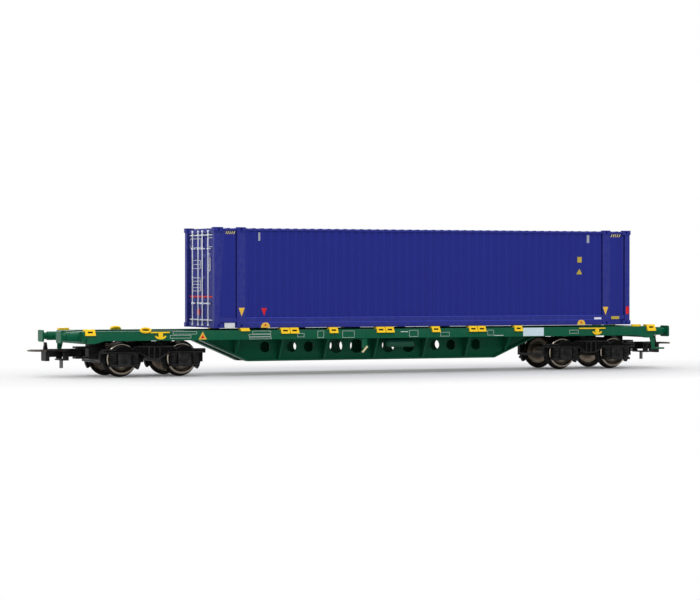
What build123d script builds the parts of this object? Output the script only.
"""Model railway container flatcar, 1:87, with one 45-foot box container on it.

Millimetres, +Z up, Z = 0 at the wheel flanges' lowest points. X runs along the wagon:
end A is at -X, where the container doors are, and end B at +X. The near side is -Y.
"""
from build123d import *
import math
import os

# Wheelsets
TREAD_RADIUS = 5.25
FLANGE_HEIGHT = 0.7
FLANGE_THICKNESS = 0.75
BACK_TO_BACK = 14.4
WHEEL_WIDTH = 2.8
RIM_THICKNESS = 0.75
WHEEL_DISH = 0.7
HUB_RADIUS = 1.7
AXLE_RADIUS = 1.0
JOURNAL_RADIUS = 0.5
JOURNAL_LENGTH = 1.9
WHEEL_SEAT_CLEARANCE = 0.02
JOURNAL_CLEARANCE = 0.05

# Bogies
PIVOT_X = 81.6
WHEELBASE = 20.7
FRAME_INNER_Y = 10.7
FRAME_THICKNESS = 1.5
FRAME_RECESS = 0.4
FRAME_RIM = 0.55
FRAME_HALF_LENGTH = 17.8
FRAME_ARM_LOW = 7.7
FRAME_ARM_TOP = 9.2
FRAME_HUMP_RADIUS = 4.3
FRAME_HUMP_TOP = 10.4
FRAME_BELLY_LOW = 5.7
FRAME_CROWN_TOP = 10.2
FRAME_BELLY_HALF = 1.9
FRAME_BELLY_SLOPE = 3.4
FRAME_CROWN_HALF = 6.6
FRAME_CROWN_SLOPE = 1.4
TRANSOM_HALF = 3.6
TRANSOM_LOW = 8.6
TRANSOM_TOP = 11.2
DECK_HALF = 8.5
DECK_HALF_WIDTH = 6.4
DECK_LOW = 9.6
BOX_HALF_LENGTH = 2.3
BOX_DEPTH = 2.2
BOX_LOW = 3.35
COVER_RADIUS = 1.5
COVER_PROUD = 0.3
SPRING_OFFSET = 3.7
SPRING_RADIUS = 1.3
SPRING_SEAT_TOP = 4.15
SHOE_GAP = 0.35
SHOE_THICKNESS = 1.1
SHOE_WIDTH = 1.6
SHOE_FLANGE_GAP = 0.2
SHOE_LOW_ANGLE = -32
SHOE_HIGH_ANGLE = 26
BEAM_SIZE = 0.8
BEAM_OFFSET = 6.95
HANGER_SIZE = 0.7

# Underframe
SILL_OUTER_Y = 15.0
SILL_FLANGE = 2.6
SILL_TOP = 15.05
SILL_LOW = 11.9
SILL_END_LOW = 11.0
SILL_END_LENGTH = 2.4
SILL_END_RAMP = 3.5
SHEET = 0.5
HEADSTOCK_X = 105.3
HEADSTOCK_THICKNESS = 1.05
HEADSTOCK_CHAMFER = 1.6
WEB_Y = 4.5
WEB_THICKNESS = 0.6
GIRDER_FLANGE = 3.0
GIRDER_TOP = 14.45
BELLY_LOW = 4.4
BELLY_HALF = 46.4
GIRDER_HALF = 65.0
DRAFT_LOW = 12.4
RIB_THICKNESS = 0.8
RIB_KNEE_Y = 9.6
BOLSTER_HALF = 9.0
PIVOT_RADIUS = 1.5
PIVOT_CLEARANCE = 0.05
PIVOT_HEAD_RADIUS = 2.2
PIVOT_HEAD = 0.7
CENTRE_PAD_RADIUS = 3.0
PAD_CLEARANCE = 0.1

# Buffers and steps
BUFFER_Y = 10.06
BUFFER_Z = 13.25
BUFFER_FACE_X = 113.45
BUFFER_HEAD = (0.55, 5.4, 3.9)
BUFFER_CORNER = 0.7
BUFFER_FLANGE = (0.4, 3.4)
SLEEVE_RADIUS = 1.45
SLEEVE_LENGTH = 4.4
PLUNGER_RADIUS = 1.15
STEP_Y = 14.6
STEP_BAR = 0.6
STEP_BACK_X = 104.4
STEP_TAPER = 0.9
STEP_LOW = 6.9
STEP_TREAD_X = 110.3
STEP_TREAD_WIDTH = 2.0

# Lock plates and folded container pins
PLATE_SEAT = 0.7
PLATE_REACH = 2.4
PLATE_LIP = 0.15
PLATE_PROUD = 0.95
PLATE_SLOT = (1.75, 0.55)
PIN_BAR_HEIGHT = 0.4
PIN_PROUD = 0.4
PIN_BAR_Z = 14.55
PIN_STEM_WIDTH = 1.5
PIN_CRESCENT = (1.9, 1.15)
PIN_CRESCENT_HOLLOW = (1.35, 0.5)
PIN_CRESCENT_Z = 13.45
PIN_HEAD = (1.9, 1.0)
PIN_HEAD_HEIGHT = 0.75
PIN_HEAD_RIM = 0.45
PIN_HEAD_HOLLOW = 0.55

# Brake tank and lever
TANK_X = (2.9, 13.6)
TANK_Y = 9.0
TANK_Z = 10.1
TANK_RADIUS = 1.43
TANK_DOME = 0.6
TANK_STRAP = 0.8
TANK_STRAP_Z = 12.3
LEVER_X = -7.4
LEVER_BRACKET = (2.0, 3.4, 0.45)
LEVER_SIZE = (2.8, 0.6, 0.35)
LEVER_DROP = 3.7
LEVER_TILT = -47

# Couplers
COUPLER_PIVOT_X = 103.2
COUPLER_Z = 7.9
COUPLER_PIN_RADIUS = 0.6
COUPLER_PIN_CLEARANCE = 0.05
MOUNT_HALF_WIDTH = 1.9
MOUNT_BACK_X = 95.0
MOUNT_FRONT_X = 105.0
MOUNT_PLATE = 0.6
MOUNT_RISER = 5.6
ARM_HEIGHT = 2.6
ARM_HALF_WIDTH = 1.2
ARM_EYE_RADIUS = 1.25
ARM_GAP = 0.1
HEAD_X = (114.1, 115.4)
HEAD_HALF_WIDTH = 2.6
HEAD_LOW = 5.3
HEAD_TOP = 9.0
HOOK_TOP = 11.4
HOOK_THICKNESS = 1.5
LOOP_PIVOT_X = 109.0
LOOP_WIRE = 0.5
LOOP_LEG_Y = 3.65
LOOP_HALF_WIDTH = 5.0
LOOP_Z = 8.7
LOOP_TIP_X = 120.6
LOOP_PIN_RADIUS = 0.35
LOOP_PIN_CLEARANCE = 0.06
LOOP_CHEEK_HALF = 1.0
LOOP_YOKE = (5.45, 5.95)
TRIP_X = 109.4
TRIP_RADIUS = 0.6
TRIP_LOW = 2.9

# Container
BOX_LENGTH = 157.66
BOX_WIDTH = 28.0
BOX_HEIGHT = 33.29
BOX_SHIFT = 17.43
WALL = 1.2
FRAME_POST = 1.95
MID_POST = 3.0
POST_INSET = 9.5
CASTING_LENGTH = 3.0
CASTING_HEIGHT = 1.5
CASTING_PROUD = 0.25
CASTING_RISE = 0.55
CASTING_HOLE = (0.95, 0.6)
CASTING_HOLE_DEPTH = 0.6
BOTTOM_RAIL = 1.85
BOTTOM_BAND = 3.4
TOP_RAIL = 0.6
BAND_PROUD = 0.12
END_RAIL_RECESS = 0.6
POST_SEAM = 0.45
POST_SEAM_DEPTH = 0.9
RIB_PITCH = 2.9
RIB_DEPTH = 0.28
RIB_FLAT = 0.35
RIB_SLOPE = 0.15
ROOF_PITCH = 3.0
ROOF_DEPTH = 0.45
ROOF_CREST = 0.3
PANEL_RECESS = 0.3
FLOOR_PLATE = 0.8
FLOOR_BEAM = 1.0
FLOOR_PITCH = 6.0
DOOR_GAP = 0.1
DOOR_THICKNESS = 0.8
DOOR_RECESS = 1.05
DOOR_FRAME_RECESS = 0.5
FRONT_FRAME_RECESS = 0.15
DOOR_PANEL = 0.3
DOOR_PANELS = 4
DOOR_MARGIN = 1.1
BAR_RADIUS = 0.2
BAR_OFFSETS = (2.0, 7.4)
KEEPER = (0.8, 0.6)

# Sizes worked out from the ones above
AXLE_Z = TREAD_RADIUS + FLANGE_HEIGHT
AXLE_OFFSET = WHEELBASE / 2
WHEEL_INNER_Y = BACK_TO_BACK / 2
WHEEL_OUTER_Y = WHEEL_INNER_Y + WHEEL_WIDTH
FRAME_OUTER_Y = FRAME_INNER_Y + FRAME_THICKNESS
AXLE_END_Y = WHEEL_OUTER_Y + JOURNAL_LENGTH
SILL_INNER_Y = SILL_OUTER_Y - SILL_FLANGE
FLANGE_HALF = GIRDER_FLANGE / 2
WEB_HALF = WEB_THICKNESS / 2
HEADSTOCK_FACE = HEADSTOCK_X + HEADSTOCK_THICKNESS
BOX_LOW_Z = SILL_TOP + PLATE_SEAT
BOX_TOP_Z = BOX_LOW_Z + BOX_HEIGHT
RAIL_TOP_Z = BOX_TOP_Z - CASTING_RISE
OPENING_TOP_Z = BOX_TOP_Z - FRAME_POST
BOX_HALF_WIDTH = BOX_WIDTH / 2
BOX_A = BOX_SHIFT - BOX_LENGTH / 2
BOX_B = BOX_SHIFT + BOX_LENGTH / 2

# Columns: distance from the middle along X, hole radius
WEB_HOLES = ((6.0, 2.4), (13.6, 2.4), (23.8, 1.8), (30.0, 1.8), (39.7, 1.85))
WEB_HOLE_Z = 9.1
RIB_X = (0.0, 18.6, 35.0, 50.7)
# Lock plates of a side. Columns: middle along X, width, drop of the face below the sill's top
LOCK_PLATES = (
    (-104.4, 3.4, 1.35), (-51.0, 3.1, 0.3), (-36.65, 3.1, 1.25), (-33.35, 3.1, 1.25), (-19.1, 3.1, 1.25),
    (-1.65, 3.1, 1.25), (1.65, 3.1, 1.25), (19.1, 3.1, 1.25), (33.35, 3.1, 1.25), (36.65, 3.1, 1.25),
    (51.0, 3.1, 1.25), (104.4, 3.4, 1.6))
# Columns: low and high end of the hinge bar along X, middle of the crescent head
FOLDED_PINS = ((-84.0, -77.4, -80.5), (75.1, 85.6, 82.3))
# Oval pin heads of a side. Columns: middle along X, lean outwards over the sill's edge in degrees
PIN_HEADS = ((-85.7, 50), (98.9, 0))

OUT = "parts"


def block(x, y, z):
    """A box from its low and high edges along each axis."""
    size = [high - low for low, high in (x, y, z)]
    middle = [(low + high) / 2 for low, high in (x, y, z)]
    return Pos(*middle) * Box(*size)


def plate_x(outline, low, high):
    """An outline in Y and Z, extruded along X."""
    face = make_face(Polyline(*[(low, y, z) for y, z in outline], close=True))
    return extrude(face, high - low, dir=(1, 0, 0))


def plate_y(outline, low, high):
    """An outline in X and Z, extruded along Y."""
    face = make_face(Polyline(*[(x, low, z) for x, z in outline], close=True))
    return extrude(face, high - low, dir=(0, 1, 0))


def plate_z(outline, low, high):
    """An outline in X and Y, extruded along Z."""
    face = make_face(Polyline(*[(x, y, low) for x, y in outline], close=True))
    return extrude(face, high - low, dir=(0, 0, 1))


def rod(start, end, radius):
    """A round bar between two points."""
    axis = Vector(*end) - Vector(*start)
    shaft = Cylinder(radius, axis.length, align=(Align.CENTER, Align.CENTER, Align.MIN))
    return Plane(origin=start, z_dir=axis) * shaft


def far_side(part):
    return mirror(part, about=Plane.XZ)


def other_half(part):
    return mirror(part, about=Plane.YZ)


def turned(part):
    """The same piece at the other end of the wagon, turned half round."""
    return Rot(0, 0, 180) * part


def both_sides(part):
    return [part, far_side(part)]


def save(name, *parts):
    """One node: a solid, or like solids that do not touch."""
    solids = []
    for part in parts:
        solids += part.solids()
    shape = solids[0] if len(solids) == 1 else Compound(children=solids)
    shape.label = name
    export_step(shape, os.path.join(OUT, name + ".step"))


# Underframe
def sill_outline(inset):
    """Side sill seen from the side, deeper towards its ends."""
    end = HEADSTOCK_X
    deep = end - SILL_END_LENGTH
    ramp = deep - SILL_END_RAMP
    low = SILL_LOW + inset
    half = [(ramp, low), (deep, SILL_END_LOW + inset), (end, SILL_END_LOW + inset), (end, SILL_TOP - inset)]
    return half + [(-x, z) for x, z in reversed(half)]


def side_sill():
    """Near side channel, open towards the middle of the wagon."""
    body = plate_y(sill_outline(0), -SILL_OUTER_Y, -SILL_INNER_Y)
    return body - plate_y(sill_outline(SHEET), SHEET - SILL_OUTER_Y, -SILL_INNER_Y)


def belly_low(x):
    """Underside of the fish-belly girders at a distance x from the middle."""
    slope = (DRAFT_LOW - BELLY_LOW) / (GIRDER_HALF - BELLY_HALF)
    return BELLY_LOW + max(0.0, abs(x) - BELLY_HALF) * slope


def girder():
    """Near fish-belly girder: an I section with round holes through its web."""
    slope = math.atan2(DRAFT_LOW - BELLY_LOW, GIRDER_HALF - BELLY_HALF)
    lift = WEB_THICKNESS / math.cos(slope)
    corner = BELLY_HALF - WEB_THICKNESS * math.tan(slope / 2)
    outline = [(GIRDER_HALF, GIRDER_TOP), (GIRDER_HALF, DRAFT_LOW), (BELLY_HALF, BELLY_LOW)]
    pocket = [(GIRDER_HALF, GIRDER_TOP - WEB_THICKNESS), (GIRDER_HALF, DRAFT_LOW + lift),
              (corner, BELLY_LOW + WEB_THICKNESS)]
    outline += [(-x, z) for x, z in reversed(outline)]
    pocket += [(-x, z) for x, z in reversed(pocket)]
    beam = plate_y(outline, -WEB_Y - FLANGE_HALF, -WEB_Y + FLANGE_HALF)
    beam -= plate_y(pocket, -WEB_Y - FLANGE_HALF, -WEB_Y - WEB_HALF)
    beam -= plate_y(pocket, -WEB_Y + WEB_HALF, -WEB_Y + FLANGE_HALF)
    for x, radius in WEB_HOLES:
        for side in (-1, 1):
            outer = (side * x, -WEB_Y - WEB_HALF, WEB_HOLE_Z)
            inner = (side * x, -WEB_Y + WEB_HALF, WEB_HOLE_Z)
            beam -= rod(outer, inner, radius)
    return beam


def draft_sill():
    """Near shallow sill of end B, from the girder to the headstock."""
    span = (GIRDER_HALF, HEADSTOCK_X)
    beam = block(span, (-WEB_Y - FLANGE_HALF, -WEB_Y + FLANGE_HALF), (DRAFT_LOW, GIRDER_TOP))
    pocket_z = (DRAFT_LOW + WEB_THICKNESS, GIRDER_TOP - WEB_THICKNESS)
    beam -= block(span, (-WEB_Y - FLANGE_HALF, -WEB_Y - WEB_HALF), pocket_z)
    beam -= block(span, (-WEB_Y + WEB_HALF, -WEB_Y + FLANGE_HALF), pocket_z)
    return beam


def inner_flange_top(x):
    """Clear height above the girder's bottom flange for a plate at x."""
    slope = math.atan2(DRAFT_LOW - BELLY_LOW, GIRDER_HALF - BELLY_HALF)
    edge = abs(x) + RIB_THICKNESS / 2
    return belly_low(edge) + WEB_THICKNESS / (math.cos(slope) if edge > BELLY_HALF else 1.0)


def cross_arm(x):
    """Near rib from the girder's web to the side sill, coped round both flanges."""
    web = WEB_Y + WEB_HALF
    edge = WEB_Y + FLANGE_HALF
    low = inner_flange_top(x)
    top = GIRDER_TOP - WEB_THICKNESS
    outline = [(web, low), (edge, low), (RIB_KNEE_Y, SILL_LOW), (SILL_INNER_Y, SILL_LOW),
               (SILL_INNER_Y, SILL_LOW + SHEET), (SILL_OUTER_Y - SHEET, SILL_LOW + SHEET),
               (SILL_OUTER_Y - SHEET, SILL_TOP - SHEET), (SILL_INNER_Y, SILL_TOP - SHEET),
               (SILL_INNER_Y, GIRDER_TOP), (edge, GIRDER_TOP), (edge, top), (web, top)]
    half = RIB_THICKNESS / 2
    return plate_x([(-y, z) for y, z in outline], x - half, x + half)


def diaphragm(x):
    """Plate between the two girders, at a rib."""
    half = RIB_THICKNESS / 2
    reach = WEB_Y - WEB_HALF
    return block((x - half, x + half), (-reach, reach), (inner_flange_top(x), GIRDER_TOP - WEB_THICKNESS))


def headstock():
    """End plate of end B, its lower corners cut off."""
    y, low = SILL_OUTER_Y, SILL_END_LOW
    cut = HEADSTOCK_CHAMFER
    half = [(cut - y, low), (-y, low + cut), (-y, SILL_TOP)]
    outline = half + [(-side, z) for side, z in reversed(half)]
    return plate_x(outline, HEADSTOCK_X, HEADSTOCK_FACE)


def bolster():
    """Cross beam over the bogie of end B, with the pin that the bogie turns on."""
    span = (PIVOT_X - BOLSTER_HALF, PIVOT_X + BOLSTER_HALF)
    inner = WEB_Y - FLANGE_HALF
    outer = WEB_Y + FLANGE_HALF
    middle = block(span, (-inner, inner), (DRAFT_LOW, GIRDER_TOP))
    pad_low = TRANSOM_TOP + PAD_CLEARANCE
    head_top = TRANSOM_LOW - PAD_CLEARANCE
    middle += rod((PIVOT_X, 0, pad_low), (PIVOT_X, 0, DRAFT_LOW), CENTRE_PAD_RADIUS)
    middle += rod((PIVOT_X, 0, head_top), (PIVOT_X, 0, pad_low), PIVOT_RADIUS)
    middle += rod((PIVOT_X, 0, head_top - PIVOT_HEAD), (PIVOT_X, 0, head_top), PIVOT_HEAD_RADIUS)
    arm = block(span, (-SILL_INNER_Y, -outer), (DRAFT_LOW, GIRDER_TOP))
    return [middle] + both_sides(arm)


# Buffers and steps
def buffer():
    """Near buffer of end B: foot, sleeve, plunger and rounded rectangular head."""
    foot_depth, foot_size = BUFFER_FLANGE
    depth, width, height = BUFFER_HEAD
    foot_end = HEADSTOCK_FACE + foot_depth
    sleeve_end = foot_end + SLEEVE_LENGTH
    head_back = BUFFER_FACE_X - depth
    half = foot_size / 2
    foot_y = (-BUFFER_Y - half, -BUFFER_Y + half)
    part = block((HEADSTOCK_FACE, foot_end), foot_y, (BUFFER_Z - half, BUFFER_Z + half))
    part += rod((foot_end, -BUFFER_Y, BUFFER_Z), (sleeve_end, -BUFFER_Y, BUFFER_Z), SLEEVE_RADIUS)
    part += rod((sleeve_end, -BUFFER_Y, BUFFER_Z), (head_back, -BUFFER_Y, BUFFER_Z), PLUNGER_RADIUS)
    face = Plane(origin=(head_back, -BUFFER_Y, BUFFER_Z), x_dir=(0, 1, 0), z_dir=(1, 0, 0))
    return part + extrude(face * RectangleRounded(width, height, BUFFER_CORNER), depth)


def corner_step():
    """Near step of end B: a tapered plate under the sill's end, with a tread in front."""
    tread_y = (-STEP_Y, STEP_TREAD_WIDTH - STEP_Y)
    outline = [(STEP_BACK_X, SILL_END_LOW), (STEP_BACK_X + STEP_TAPER, STEP_LOW), (HEADSTOCK_FACE, STEP_LOW),
               (HEADSTOCK_FACE, SILL_END_LOW)]
    part = plate_y(outline, -STEP_Y, -STEP_Y + STEP_BAR)
    tread_x = (HEADSTOCK_FACE - STEP_BAR, STEP_TREAD_X)
    return part + block(tread_x, tread_y, (STEP_LOW, STEP_LOW + STEP_BAR))


# Lock plates and folded pins
def lock_plate(x, width, drop):
    """Near lock plate: a seat over the sill's top edge and a slotted face that leans out over its side."""
    low = SILL_TOP - drop
    outline = [(-SILL_OUTER_Y, SILL_TOP), (PLATE_REACH - SILL_OUTER_Y, SILL_TOP),
               (PLATE_REACH - SILL_OUTER_Y, BOX_LOW_Z), (PLATE_LIP - SILL_OUTER_Y, BOX_LOW_Z),
               (-SILL_OUTER_Y - PLATE_PROUD, low), (-SILL_OUTER_Y, low)]
    part = plate_x(outline, x - width / 2, x + width / 2)
    slot, slot_height = PLATE_SLOT
    if drop < 2 * slot_height:
        return part
    slot_z = (SILL_TOP - slot_height, SILL_TOP)
    return part - block((x - slot / 2, x + slot / 2), (-SILL_OUTER_Y - PLATE_PROUD, -SILL_OUTER_Y), slot_z)


def folded_pin(low, high, x):
    """Near container pin folded down: hinge bar, stem and crescent head on the sill's face."""
    y = (-SILL_OUTER_Y - PIN_PROUD, -SILL_OUTER_Y)
    rise = PIN_BAR_HEIGHT / 2
    part = block((low, high), y, (PIN_BAR_Z - rise, PIN_BAR_Z + rise))
    stem = PIN_STEM_WIDTH / 2
    long, short = PIN_CRESCENT
    stem_low = PIN_CRESCENT_Z - (short + PIN_CRESCENT_HOLLOW[1]) / 2
    part += block((x - stem, x + stem), y, (stem_low, PIN_BAR_Z))
    plane = Plane(origin=(x, -SILL_OUTER_Y, PIN_CRESCENT_Z), x_dir=(1, 0, 0), z_dir=(0, -1, 0))
    half_moon = Ellipse(long, short) - Ellipse(*PIN_CRESCENT_HOLLOW)
    half_moon &= Pos(0, -short / 2) * Rectangle(2 * long, short)
    return part + extrude(plane * half_moon, PIN_PROUD)


def pin_head(x, lean):
    """Near oval pin head, hollowed on top, flat on the sill or leaning out over its edge."""
    long, short = PIN_HEAD
    head = extrude(Ellipse(long, short), PIN_HEAD_HEIGHT)
    hollow = extrude(Ellipse(long - PIN_HEAD_RIM, short - PIN_HEAD_RIM), PIN_HEAD_HOLLOW)
    head -= Pos(0, 0, PIN_HEAD_HEIGHT - PIN_HEAD_HOLLOW) * hollow
    if lean == 0:
        return Pos(x, short - SILL_OUTER_Y, SILL_TOP) * head
    head = Pos(x, -SILL_OUTER_Y, SILL_TOP) * Rot(lean, 0, 0) * head
    return head - block((x - long, x + long), (-SILL_OUTER_Y, -SILL_INNER_Y), (SILL_LOW, SILL_TOP))


# Brake tank and lever
def air_tank():
    """Tank with domed ends, hung on two straps from the near girder's web."""
    low, high = TANK_X
    profile = [(low, 0), (low, TANK_RADIUS - TANK_DOME), (low + TANK_DOME, TANK_RADIUS),
               (high - TANK_DOME, TANK_RADIUS), (high, TANK_RADIUS - TANK_DOME), (high, 0)]
    face = make_face(Polyline(*[(x, -TANK_Y, TANK_Z + r) for x, r in profile], close=True))
    tank = revolve(face, Axis((0, -TANK_Y, TANK_Z), (1, 0, 0)))
    web = WEB_Y + WEB_HALF
    strap = [(-web, TANK_STRAP_Z), (-web, TANK_STRAP_Z + TANK_STRAP), (-TANK_Y, TANK_STRAP_Z + TANK_STRAP),
             (-TANK_Y, TANK_Z), (TANK_STRAP - TANK_Y, TANK_Z), (TANK_STRAP - TANK_Y, TANK_STRAP_Z)]
    for x in (low + 2 * TANK_DOME, high - 2 * TANK_DOME - TANK_STRAP):
        tank += plate_x(strap, x, x + TANK_STRAP)
    return tank


def brake_lever():
    """Change-over lever on a small plate under the near sill."""
    width, height, thickness = LEVER_BRACKET
    long, high, depth = LEVER_SIZE
    y = -SILL_OUTER_Y + SHEET
    half = width / 2
    plate = block((LEVER_X - half, LEVER_X + half), (y, y + thickness), (SILL_LOW - height, SILL_LOW))
    bar = Rot(0, LEVER_TILT, 0) * Box(long, depth, high)
    return plate + Pos(LEVER_X, y - depth / 2, SILL_LOW - LEVER_DROP) * bar


# Bogies
def frame_outline(inset):
    """Bogie side frame seen from the side: flat arms, raised crown, dropped belly."""
    crown = FRAME_CROWN_HALF
    foot = crown + FRAME_CROWN_SLOPE
    belly = FRAME_BELLY_HALF
    heel = belly + FRAME_BELLY_SLOPE
    half = [(belly - inset / 2, FRAME_BELLY_LOW + inset), (heel - inset / 2, FRAME_ARM_LOW + inset),
            (FRAME_HALF_LENGTH - inset, FRAME_ARM_LOW + inset),
            (FRAME_HALF_LENGTH - inset, FRAME_ARM_TOP - inset),
            (foot - inset / 2, FRAME_ARM_TOP - inset), (crown - inset / 2, FRAME_CROWN_TOP - inset)]
    return half + [(-x, z) for x, z in reversed(half)]


def side_slab(inset, low, high):
    """Side frame's shape between two Y planes, with the humps over its axle boxes."""
    slab = plate_y(frame_outline(inset), low, high)
    middle = FRAME_HUMP_TOP - FRAME_HUMP_RADIUS
    for x in (-AXLE_OFFSET, AXLE_OFFSET):
        disc = rod((x, low, middle), (x, high, middle), FRAME_HUMP_RADIUS - inset)
        room = block((x - FRAME_HUMP_RADIUS, x + FRAME_HUMP_RADIUS), (low, high),
                     (FRAME_ARM_LOW + inset, FRAME_HUMP_TOP))
        slab += disc & room
    return slab


def bogie_frame():
    """Two side frames with a recessed outer face, joined by the transom and deck that take the pivot pin."""
    side = side_slab(0, -FRAME_OUTER_Y, -FRAME_INNER_Y)
    side -= side_slab(FRAME_RIM, -FRAME_OUTER_Y, FRAME_RECESS - FRAME_OUTER_Y)
    half = FRAME_RIM / 2
    rib_z = (FRAME_BELLY_LOW + half, FRAME_CROWN_TOP)
    for x in (-FRAME_BELLY_HALF, 0.0, FRAME_BELLY_HALF):
        side += block((x - half, x + half), (-FRAME_OUTER_Y, -FRAME_INNER_Y), rib_z)
    part = side + far_side(side)
    transom_y = (-FRAME_INNER_Y, FRAME_INNER_Y)
    part += block((-TRANSOM_HALF, TRANSOM_HALF), transom_y, (TRANSOM_LOW, TRANSOM_TOP))
    deck_y = (-DECK_HALF_WIDTH, DECK_HALF_WIDTH)
    part += block((-DECK_HALF, DECK_HALF), deck_y, (DECK_LOW, TRANSOM_TOP))
    return part - rod((0, 0, TRANSOM_LOW), (0, 0, TRANSOM_TOP), PIVOT_RADIUS + PIVOT_CLEARANCE)


def axle_box():
    """Near axle box: housing with a round cover, a spring on each wing and the journal's bore."""
    half = BOX_HALF_LENGTH
    outer = FRAME_INNER_Y + BOX_DEPTH
    wing = SPRING_OFFSET + SPRING_RADIUS
    spring_y = -FRAME_INNER_Y - SPRING_RADIUS
    wings_y = (-FRAME_INNER_Y - 2 * SPRING_RADIUS, -FRAME_INNER_Y)
    part = block((-half, half), (-outer, -FRAME_INNER_Y), (BOX_LOW, FRAME_ARM_LOW))
    part += block((-wing, wing), wings_y, (BOX_LOW, SPRING_SEAT_TOP))
    part += rod((0, -outer, AXLE_Z), (0, -outer - COVER_PROUD, AXLE_Z), COVER_RADIUS)
    for x in (-SPRING_OFFSET, SPRING_OFFSET):
        part += rod((x, spring_y, SPRING_SEAT_TOP), (x, spring_y, FRAME_ARM_LOW), SPRING_RADIUS)
    bore = JOURNAL_RADIUS + JOURNAL_CLEARANCE
    return part - rod((0, -FRAME_INNER_Y, AXLE_Z), (0, -AXLE_END_Y - JOURNAL_CLEARANCE, AXLE_Z), bore)


def brake_set():
    """Both shoes on one side of a wheelset, their hangers and the beam between them."""
    inner = TREAD_RADIUS + SHOE_GAP
    outer = inner + SHOE_THICKNESS
    y_low = WHEEL_INNER_Y + FLANGE_THICKNESS + SHOE_FLANGE_GAP
    low, high = math.radians(SHOE_LOW_ANGLE), math.radians(SHOE_HIGH_ANGLE)
    middle = (low + high) / 2

    def rim(radius, angle):
        return (radius * math.cos(angle), -y_low, AXLE_Z + radius * math.sin(angle))

    edges = [ThreePointArc(rim(inner, low), rim(inner, middle), rim(inner, high)),
             Line(rim(inner, high), rim(outer, high)),
             ThreePointArc(rim(outer, high), rim(outer, middle), rim(outer, low)),
             Line(rim(outer, low), rim(inner, low))]
    shoe = extrude(make_face(edges), SHOE_WIDTH, dir=(0, -1, 0))
    half = BEAM_SIZE / 2
    beam_z = AXLE_Z - BEAM_SIZE
    hanger = (FRAME_ARM_LOW + PAD_CLEARANCE, FRAME_ARM_LOW + PAD_CLEARANCE + HANGER_SIZE)
    x = (BEAM_OFFSET - half, BEAM_OFFSET + half)
    side = shoe + block(x, (-y_low - SHOE_WIDTH, -y_low), (beam_z - half, hanger[1]))
    side += block(x, (-FRAME_INNER_Y, -y_low), hanger)
    part = side + far_side(side)
    return part + block(x, (-y_low, y_low), (beam_z - half, beam_z + half))


# Wheelsets
def wheel():
    """Near wheel: coned tread, flange, dished disc and hub."""
    inner, outer = WHEEL_INNER_Y, WHEEL_OUTER_Y
    bore = AXLE_RADIUS + WHEEL_SEAT_CLEARANCE
    rim = TREAD_RADIUS - RIM_THICKNESS
    flange = TREAD_RADIUS + FLANGE_HEIGHT
    # Columns: radius, distance from the middle of the axle
    profile = [(bore, inner + WHEEL_DISH / 2), (HUB_RADIUS, inner + WHEEL_DISH / 2),
               (rim, inner + WHEEL_DISH),
               (rim + RIM_THICKNESS / 3, inner), (flange - FLANGE_HEIGHT / 3, inner),
               (flange, inner + FLANGE_THICKNESS / 2), (TREAD_RADIUS, inner + FLANGE_THICKNESS),
               (TREAD_RADIUS, outer), (rim, outer), (rim - WHEEL_DISH / 3, outer - WHEEL_DISH),
               (HUB_RADIUS, outer - 1.5 * WHEEL_DISH), (HUB_RADIUS, outer), (bore, outer)]
    face = make_face(Polyline(*[(r, -y, 0) for r, y in profile], close=True))
    return revolve(face, Axis((0, 0, 0), (0, 1, 0)))


def axle():
    """Axle with thin journals at both ends."""
    half = [(AXLE_RADIUS, WHEEL_OUTER_Y), (JOURNAL_RADIUS, WHEEL_OUTER_Y), (JOURNAL_RADIUS, AXLE_END_Y),
            (0, AXLE_END_Y)]
    points = [(r, -y, 0) for r, y in reversed(half)] + [(r, y, 0) for r, y in half]
    return revolve(make_face(Polyline(*points, close=True)), Axis((0, 0, 0), (0, 1, 0)))


# Couplers
def coupler_mount():
    """Bracket of end B under the draft sills, with the pin that the coupler swings on."""
    reach = WEB_Y + FLANGE_HALF
    width = (-MOUNT_HALF_WIDTH, MOUNT_HALF_WIDTH)
    jaw = ARM_HEIGHT / 2 + ARM_GAP
    part = block((MOUNT_BACK_X, MOUNT_FRONT_X), (-reach, reach), (DRAFT_LOW - MOUNT_PLATE, DRAFT_LOW))
    riser_z = (COUPLER_Z - jaw - MOUNT_PLATE, DRAFT_LOW)
    part += block((MOUNT_BACK_X, MOUNT_BACK_X + MOUNT_RISER), width, riser_z)
    for low in (COUPLER_Z + jaw, COUPLER_Z - jaw - MOUNT_PLATE):
        part += block((MOUNT_BACK_X, MOUNT_FRONT_X), width, (low, low + MOUNT_PLATE))
    pin = [(COUPLER_PIVOT_X, 0, COUPLER_Z + side * jaw) for side in (-1, 1)]
    return part + rod(*pin, COUPLER_PIN_RADIUS)


def coupler_arm():
    """Arm of end B from its swinging eye to the head, with the loop's cross pin."""
    z = (COUPLER_Z - ARM_HEIGHT / 2, COUPLER_Z + ARM_HEIGHT / 2)
    part = block((COUPLER_PIVOT_X, HEAD_X[0]), (-ARM_HALF_WIDTH, ARM_HALF_WIDTH), z)
    eye = [(COUPLER_PIVOT_X, 0, height) for height in z]
    part += rod(*eye, ARM_EYE_RADIUS)
    part -= rod(*eye, COUPLER_PIN_RADIUS + COUPLER_PIN_CLEARANCE)
    end = LOOP_LEG_Y + LOOP_WIRE
    return part + rod((LOOP_PIVOT_X, -end, COUPLER_Z), (LOOP_PIVOT_X, end, COUPLER_Z), LOOP_PIN_RADIUS)


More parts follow.
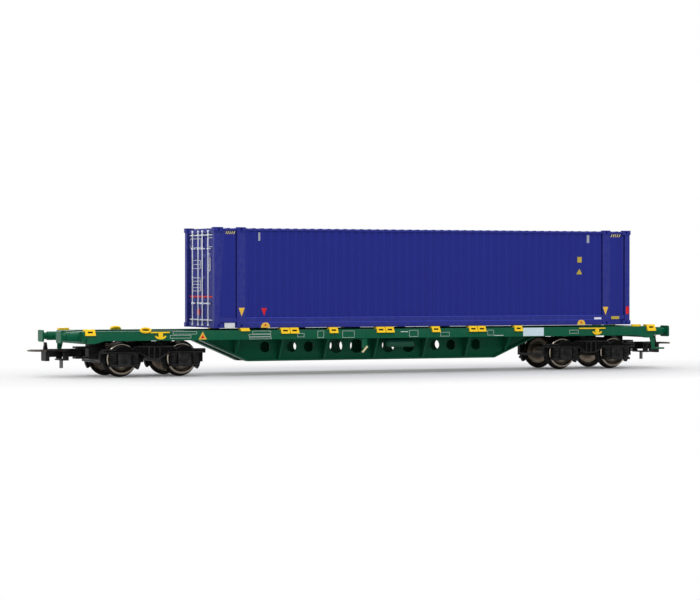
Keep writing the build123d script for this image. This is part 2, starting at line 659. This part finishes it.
def coupler_head():
    """Head plate of end B with its upright hook."""
    back, front = HEAD_X
    part = block(HEAD_X, (-HEAD_HALF_WIDTH, HEAD_HALF_WIDTH), (HEAD_LOW, HEAD_TOP))
    nose = (front - back) / 2
    hook = [(back, HEAD_TOP), (front, HEAD_TOP), (front - nose / 2, HOOK_TOP - nose / 2), (front, HOOK_TOP),
            (back + nose / 2, HOOK_TOP)]
    return part + plate_y(hook, -HOOK_THICKNESS / 2, HOOK_THICKNESS / 2)


def coupler_loop():
    """Lifting loop of end B: bow in front, cheeks on the cross pin, yoke and trip pin below."""
    half = LOOP_WIRE / 2
    leg = LOOP_LEG_Y
    z = (LOOP_Z - half, LOOP_Z + half)
    bend = HEAD_X[1]
    bow_x = LOOP_TIP_X - LOOP_HALF_WIDTH / 2
    inner, outer = leg - half, leg + half
    wide_in, wide_out = LOOP_HALF_WIDTH - LOOP_WIRE, LOOP_HALF_WIDTH
    start = LOOP_PIVOT_X

    def bow(reach, tip, heel):
        return [Line((start, -heel, z[0]), (bend, -heel, z[0])),
                Line((bend, -heel, z[0]), (bow_x, -reach, z[0])),
                ThreePointArc((bow_x, -reach, z[0]), (tip, 0, z[0]), (bow_x, reach, z[0])),
                Line((bow_x, reach, z[0]), (bend, heel, z[0])),
                Line((bend, heel, z[0]), (start, heel, z[0]))]

    outside = bow(wide_out, LOOP_TIP_X, outer)
    inside = bow(wide_in, LOOP_TIP_X - LOOP_WIRE, inner)
    ends = [Line((start, -outer, z[0]), (start, -inner, z[0])),
            Line((start, inner, z[0]), (start, outer, z[0]))]
    part = extrude(make_face(outside + inside + ends), LOOP_WIRE, dir=(0, 0, 1))
    cheek_x = (start - LOOP_CHEEK_HALF, start + LOOP_CHEEK_HALF)
    cheek = block(cheek_x, (-outer, -inner), (LOOP_YOKE[0], z[1]))
    part += cheek + far_side(cheek)
    part += block((start - LOOP_CHEEK_HALF, TRIP_X + LOOP_CHEEK_HALF), (-outer, outer), LOOP_YOKE)
    part += rod((TRIP_X, 0, TRIP_LOW), (TRIP_X, 0, LOOP_YOKE[0]), TRIP_RADIUS)
    bore = LOOP_PIN_RADIUS + LOOP_PIN_CLEARANCE
    return part - rod((start, -outer, COUPLER_Z), (start, outer, COUPLER_Z), bore)


# Container
def ribbed(low, high, face, back, pitch, depth):
    """Outline of a ribbed sheet: trapezoid grooves along its face, flat at the back.

    Each step has a flat rib, a slope, a flat groove and a slope back up.
    """
    count = max(1, int((high - low) / pitch))
    step = (high - low) / count
    points = [(low, back)]
    for index in range(count):
        start = low + index * step
        sunk = start + (RIB_FLAT + RIB_SLOPE) * step
        points += [(start, face), (start + RIB_FLAT * step, face), (sunk, face - depth),
                   (sunk + RIB_FLAT * step, face - depth)]
    return points + [(high, face), (high, back)]


def wall_bays():
    """Low and high X of each stretch of side wall between the posts."""
    half = MID_POST / 2
    ends = [BOX_A + FRAME_POST, BOX_A + POST_INSET - half, BOX_A + POST_INSET + half]
    ends += [BOX_B - POST_INSET - half, BOX_B - POST_INSET + half, BOX_B - FRAME_POST]
    return [ends[0:2], ends[2:4], ends[4:6]]


def casting_levels():
    """Low and high Z of the lower and upper castings."""
    return [(BOX_LOW_Z, BOX_LOW_Z + CASTING_HEIGHT), (BOX_TOP_Z - CASTING_HEIGHT, BOX_TOP_Z)]


def casting_hole(x, z):
    """Oval recess in the near face of a casting."""
    face = Plane(origin=(x, -BOX_HALF_WIDTH - CASTING_PROUD, z), x_dir=(0, 0, 1), z_dir=(0, 1, 0))
    return extrude(face * SlotOverall(*CASTING_HOLE), CASTING_HOLE_DEPTH)


def side_wall():
    """Near side wall: ribbed sheets, a sunk seam before each post, rails cut out round the castings."""
    face = BOX_HALF_WIDTH - PANEL_RECESS
    back = BOX_HALF_WIDTH - WALL
    rib_z = (BOX_LOW_Z + BOTTOM_BAND, RAIL_TOP_Z - TOP_RAIL)
    seam = BOX_HALF_WIDTH - POST_SEAM_DEPTH
    bays = []
    for low, high in wall_bays():
        rail = BOX_HALF_WIDTH if high - low > POST_INSET else BOX_HALF_WIDTH - END_RAIL_RECESS
        sheet_end = high - POST_SEAM
        outline = ribbed(low, sheet_end, face, back, RIB_PITCH, RIB_DEPTH)
        bay = plate_z([(x, -y) for x, y in outline], *rib_z)
        bay += block((sheet_end, high), (-seam, -back), rib_z)
        bay += block((low, high), (-rail, -back), (BOX_LOW_Z, BOX_LOW_Z + BOTTOM_RAIL))
        bay += block((low, high), (-face - BAND_PROUD, -back), (BOX_LOW_Z + BOTTOM_RAIL, rib_z[0]))
        bay += block((low, high), (-BOX_HALF_WIDTH, -back), (rib_z[1], RAIL_TOP_Z))
        for x in ((BOX_A, BOX_A + CASTING_LENGTH), (BOX_B - CASTING_LENGTH, BOX_B)):
            for z in casting_levels():
                bay -= block(x, (-BOX_HALF_WIDTH, -back), z)
        bays.append(bay)
    return bays


def mid_post(x):
    """Near side post at a 40-foot position with its two castings."""
    span = (x - MID_POST / 2, x + MID_POST / 2)
    part = block(span, (-BOX_HALF_WIDTH, -BOX_HALF_WIDTH + WALL), (BOX_LOW_Z, RAIL_TOP_Z))
    for z in casting_levels():
        part += block(span, (-BOX_HALF_WIDTH - CASTING_PROUD, -BOX_HALF_WIDTH + WALL), z)
        part -= casting_hole(x, sum(z) / 2)
    return part


def end_frame(recess):
    """Frame of end B: two posts, with a sill and header set back between them, and corner castings."""
    x = (BOX_B - FRAME_POST, BOX_B)
    opening = BOX_HALF_WIDTH - FRAME_POST
    part = block(x, (-BOX_HALF_WIDTH, BOX_HALF_WIDTH), (BOX_LOW_Z, RAIL_TOP_Z))
    part -= block(x, (-opening, opening), (BOX_LOW_Z + BOTTOM_RAIL, OPENING_TOP_Z))
    part -= block((BOX_B - recess, BOX_B), (-opening, opening), (BOX_LOW_Z, RAIL_TOP_Z))
    outer = -BOX_HALF_WIDTH - CASTING_PROUD
    for z in casting_levels():
        corner = block((BOX_B - FRAME_POST, BOX_B + CASTING_PROUD), (outer, -opening), z)
        corner += block((BOX_B - CASTING_LENGTH, BOX_B), (outer, -BOX_HALF_WIDTH + WALL), z)
        part += corner
        part += far_side(corner)
    for z in casting_levels():
        hole = casting_hole(BOX_B - CASTING_LENGTH / 2, sum(z) / 2)
        part -= hole
        part -= far_side(hole)
    return part


def front_wall():
    """Blind end wall of end B, ribbed upright inside its frame."""
    opening = BOX_HALF_WIDTH - FRAME_POST
    outline = ribbed(-opening, opening, BOX_B - PANEL_RECESS, BOX_B - WALL, RIB_PITCH, RIB_DEPTH)
    return plate_z([(x, y) for y, x in outline], BOX_LOW_Z + BOTTOM_RAIL, OPENING_TOP_Z)


def roof():
    """Roof sheet with ribs across the container, between the side walls and end frames."""
    low, high = BOX_A + FRAME_POST, BOX_B - FRAME_POST
    crest = RAIL_TOP_Z + ROOF_CREST
    outline = ribbed(low, high, crest, crest - WALL, ROOF_PITCH, ROOF_DEPTH)
    reach = BOX_HALF_WIDTH - WALL
    return plate_y(outline, -reach, reach)


def floor():
    """Floor plate on cross beams between the side walls."""
    low, high = BOX_A + FRAME_POST, BOX_B - FRAME_POST
    reach = BOX_HALF_WIDTH - WALL
    plate_low = BOX_LOW_Z + BOTTOM_RAIL - FLOOR_PLATE
    part = block((low, high), (-reach, reach), (plate_low, plate_low + FLOOR_PLATE))
    count = int((high - low) / FLOOR_PITCH)
    step = (high - low) / count
    beams = [block((low + (i + 0.5) * step - FLOOR_BEAM / 2, low + (i + 0.5) * step + FLOOR_BEAM / 2),
                   (-reach, reach), (BOX_LOW_Z + FLOOR_PLATE / 4, plate_low)) for i in range(count)]
    return part.fuse(*beams)


def door():
    """Near door leaf of end A: a plate with sunk panels on its outer face."""
    opening = BOX_HALF_WIDTH - FRAME_POST
    low, high = BOX_LOW_Z + BOTTOM_RAIL + DOOR_GAP, OPENING_TOP_Z - DOOR_GAP
    outer = BOX_A + DOOR_RECESS
    y = (-opening + DOOR_GAP, -DOOR_GAP / 2)
    part = block((outer, outer + DOOR_THICKNESS), y, (low, high))
    step = (high - low) / DOOR_PANELS
    half = DOOR_MARGIN / 2
    for index in range(DOOR_PANELS):
        z = (low + index * step + half, low + (index + 1) * step - half)
        part -= block((outer, outer + DOOR_PANEL), (y[0] + half, y[1] - half), z)
    return part


def door_bar(y):
    """Lock bar in front of a door, its ends in keepers on the end frame's sill and header."""
    width, height = KEEPER
    face = BOX_A + DOOR_FRAME_RECESS
    x = face - BAR_RADIUS
    low, high = BOX_LOW_Z + BOTTOM_RAIL / 2, (OPENING_TOP_Z + RAIL_TOP_Z) / 2
    part = rod((x, y, low), (x, y, high), BAR_RADIUS)
    for z in (low, high):
        span = (z - height / 2, z + height / 2)
        part += block((face - 2 * BAR_RADIUS, face), (y - width / 2, y + width / 2), span)
    return part


def write_underframe():
    sill = side_sill()
    save("side_sill_near", sill)
    save("side_sill_far", far_side(sill))
    beam = girder()
    save("girder_near", beam)
    save("girder_far", far_side(beam))
    rib_places = sorted({side * x for x in RIB_X for side in (-1, 1)})
    arms = [cross_arm(x) for x in rib_places]
    save("cross_arms_near", *arms)
    save("cross_arms_far", *[far_side(arm) for arm in arms])
    save("diaphragms", *[diaphragm(x) for x in rib_places])
    save("air_tank", air_tank())
    save("brake_lever", brake_lever())
    drafts = both_sides(draft_sill())
    ends = {"headstock": [headstock()], "draft_sills": drafts, "bolster": bolster(),
            "coupler_mount": [coupler_mount()], "buffers": both_sides(buffer())}
    for name, parts in ends.items():
        save(name + "_a", *[turned(part) for part in parts])
        save(name + "_b", *parts)
    step = corner_step()
    save("corner_steps", step, turned(step))
    plates = [lock_plate(*row) for row in LOCK_PLATES]
    save("lock_plates_near", *plates)
    save("lock_plates_far", *[far_side(plate) for plate in plates])
    pins = [folded_pin(*row) for row in FOLDED_PINS] + [pin_head(*row) for row in PIN_HEADS]
    save("folded_pins_near", *pins)
    save("folded_pins_far", *[far_side(pin) for pin in pins])


def write_bogies():
    frame = bogie_frame()
    box = axle_box()
    boxes = [Pos(side * AXLE_OFFSET, 0, 0) * part for side in (-1, 1) for part in both_sides(box)]
    shoes = brake_set()
    sets = [Pos(side * AXLE_OFFSET, 0, 0) * part for side in (-1, 1) for part in (shoes, other_half(shoes))]
    for end, x in (("a", -PIVOT_X), ("b", PIVOT_X)):
        place = Pos(x, 0, 0)
        save("bogie_frame_" + end, place * frame)
        save("axle_boxes_" + end, *[place * part for part in boxes])
        save("brake_gear_" + end, *[place * part for part in sets])
    wheels = both_sides(wheel())
    shaft = axle()
    places = [pivot + side * AXLE_OFFSET for pivot in (-PIVOT_X, PIVOT_X) for side in (-1, 1)]
    for number, x in enumerate(places, start=1):
        place = Pos(x, 0, AXLE_Z)
        save(f"axle_{number}", place * shaft)
        save(f"wheels_{number}", *[place * part for part in wheels])


def write_couplers():
    for name, part in (("arm", coupler_arm()), ("head", coupler_head()), ("loop", coupler_loop())):
        save(f"coupler_{name}_a", turned(part))
        save(f"coupler_{name}_b", part)


def write_container():
    bays = side_wall()
    save("container_side_near", *bays)
    save("container_side_far", *[far_side(bay) for bay in bays])
    posts = [part for x in (BOX_A + POST_INSET, BOX_B - POST_INSET) for part in both_sides(mid_post(x))]
    save("container_posts", *posts)
    across = Plane(origin=(BOX_SHIFT, 0, 0), z_dir=(1, 0, 0))
    save("container_frame_b", end_frame(FRONT_FRAME_RECESS))
    save("container_frame_a", mirror(end_frame(DOOR_FRAME_RECESS), about=across))
    save("container_front", front_wall())
    save("container_roof", roof())
    save("container_floor", floor())
    leaf = door()
    save("container_door_near", leaf)
    save("container_door_far", far_side(leaf))
    save("door_bars", *[door_bar(side * y) for y in BAR_OFFSETS for side in (-1, 1)])


def main():
    os.makedirs(OUT, exist_ok=True)
    write_underframe()
    write_bogies()
    write_couplers()
    write_container()


main()
